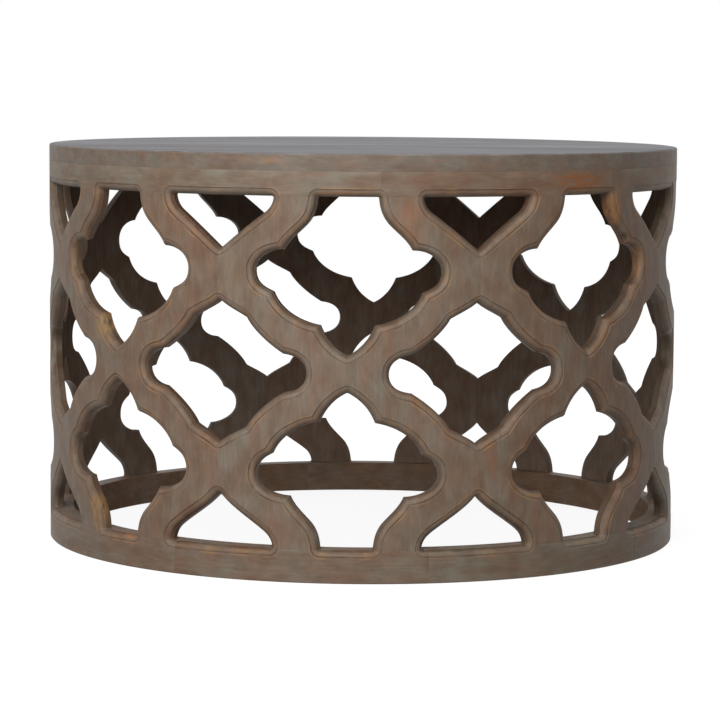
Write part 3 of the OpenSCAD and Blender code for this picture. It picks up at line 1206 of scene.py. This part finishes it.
# %% [markdown]
# ## The floor
#
# A catalogue photo stands its object on white. Lighting a floor until it is
# white would throw light up into the drum and wash out its dark inside. So the
# floor is grey to the light, and glows white only for what the camera sees.
# Light Path tells those rays apart. Just short of full white near the drum, it
# leaves room for the drum's soft shadow.

# %% The floor
FLOOR_SIZE = 8.0
FLOOR_GREY = "707070"
FLOOR_GLOW = 0.9


def seen_rays(tree):
    """1 for what the camera, a gloss or a glass sees, and 0 for the light on the drum."""
    ray = add(tree, "LightPath")
    seen = add(
        tree, "Math", {0: ray.outputs["Is Camera Ray"], 1: ray.outputs["Is Glossy Ray"]},
        operation="MAXIMUM",
    )
    return add(tree, "Math", {0: seen, 1: ray.outputs["Is Transmission Ray"]}, operation="MAXIMUM")


bm = bmesh.new()
bmesh.ops.create_grid(bm, x_segments=1, y_segments=1, size=FLOOR_SIZE / 2)
mesh = bpy.data.meshes.new("floor")
bm.to_mesh(mesh)
bm.free()
floor = bpy.data.objects.new("floor", mesh)
bpy.context.scene.collection.objects.link(floor)
made, tree, shader = material("white_studio_floor")
shader.inputs["Base Color"].default_value = colour(FLOOR_GREY)
shader.inputs["Roughness"].default_value = 0.9
shader.inputs["Specular IOR Level"].default_value = 0
place = add(tree, "TexCoord").outputs["Object"]
away = add(tree, "VectorMath", {0: place}, operation="LENGTH").outputs["Value"]
glow = add(tree, "MapRange", {
    "Value": away, "From Min": 2 * RADIUS, "From Max": 6 * RADIUS,
    "To Min": FLOOR_GLOW, "To Max": 1,
})
shown = add(tree, "Math", {0: seen_rays(tree), 1: glow}, operation="MULTIPLY")
tree.links.new(shown.outputs[0], shader.inputs["Emission Strength"])
shader.inputs["Emission Color"].default_value = (1, 1, 1, 1)
floor.data.materials.append(made)
print("floor", FLOOR_SIZE, "m wide")

# %% [markdown]
# ## Light
#
# The room is white to the eye in the same way, but lights the drum only a
# little from above, and more from behind, so that the back isn't lost.

# %% The world
SKY = 0.16
REAR_SKY = 1.4
world = bpy.data.worlds.new("white_studio")
bpy.context.scene.world = world
world.use_nodes = True
tree = world.node_tree
background = tree.nodes["Background"]
background.inputs["Color"].default_value = (1, 1, 1, 1)
direction = add(tree, "TexCoord").outputs["Generated"]
_, behind, rise = add(tree, "SeparateXYZ", {0: direction}).outputs
rear = add(tree, "MapRange", {"Value": behind, "From Min": 0.25, "To Max": REAR_SKY})
sky = add(tree, "Math", {0: rise, 1: SKY, 2: rear}, operation="MULTIPLY_ADD")
strength = add(tree, "MapRange", {"Value": seen_rays(tree), "To Min": sky, "To Max": 1})
tree.links.new(strength.outputs[0], background.inputs["Strength"])
print("strength of the sky:", SKY, "overhead and", REAR_SKY, "straight behind")

# %% [markdown]
# One large soft box stands in front and slightly to the left. It is wide
# enough to leave no hard shadow, and high enough that the top's shade falls on
# the upper half of the inside. A second soft box overhead lights the planks.

# %% Two soft boxes
KEY_SIZE = 1.5
KEY_DISTANCE = 2.4
KEY_SIDE = math.radians(-12)
KEY_RISE = math.radians(26)
KEY_POWER = 44
OVERHEAD_SIZE = 1.6
OVERHEAD_RISE = 2.4
OVERHEAD_POWER = 34


def soft_box(name, size, power, place, target):
    """A square area light at a place, turned to shine at its target."""
    data = bpy.data.lights.new(name, "AREA")
    data.shape = "SQUARE"
    data.size = size
    data.energy = power
    light = bpy.data.objects.new(name, data)
    light.location = place
    light.rotation_euler = (place - target).to_track_quat("Z", "Y").to_euler()
    bpy.context.scene.collection.objects.link(light)


towards_key = Vector((
    math.sin(KEY_SIDE) * math.cos(KEY_RISE),
    -math.cos(KEY_SIDE) * math.cos(KEY_RISE),
    math.sin(KEY_RISE),
))
middle = Vector((0, 0, HEIGHT / 2))
soft_box("key", KEY_SIZE, KEY_POWER, middle + KEY_DISTANCE * towards_key, middle)
soft_box("overhead", OVERHEAD_SIZE, OVERHEAD_POWER, Vector((0, 0, OVERHEAD_RISE)), middle)
print("key light", KEY_DISTANCE, "m away, overhead light", OVERHEAD_RISE, "m up")

# %% [markdown]
# ## The camera
#
# The photo was taken with a long lens from a little above the top, which shows
# as a thin ellipse. Its distance, height, tilt and lens were fitted until the
# outlines of the front openings lay on those in the photo. The camera walks
# round the drum by its side angle, steps back, and is then turned a little.

# %% The camera
CAMERA_DISTANCE = 3.641
CAMERA_HEIGHT = 0.576
CAMERA_SIDE = math.radians(2.42)
CAMERA_PITCH = math.radians(5.718)
CAMERA_ROLL = math.radians(-0.398)
CAMERA_YAW = math.radians(0.034)
CAMERA_LENS = 149.27
SENSOR_WIDTH = 36
lens = bpy.data.cameras.new("camera")
lens.lens = CAMERA_LENS
lens.sensor_width = SENSOR_WIDTH
camera = bpy.data.objects.new("camera", lens)
level = Matrix.Rotation(math.pi / 2, 4, "X")
camera.matrix_world = (
    Matrix.Rotation(CAMERA_SIDE, 4, "Z")
    @ Matrix.Translation((0, -CAMERA_DISTANCE, CAMERA_HEIGHT))
    @ Matrix.Rotation(CAMERA_YAW, 4, "Z")
    @ Matrix.Rotation(-CAMERA_PITCH, 4, "X")
    @ level
    @ Matrix.Rotation(-CAMERA_ROLL, 4, "Z")
)
bpy.context.scene.collection.objects.link(camera)
bpy.context.scene.camera = camera
bpy.context.scene.view_settings.view_transform = "Standard"
print("camera at", [round(c, 3) for c in camera.matrix_world.translation])

# %% [markdown]
# ## The last step
#
# The dressed drum must be as big as the CAD solids say.

# %% Update the view layer
bpy.context.view_layer.update()
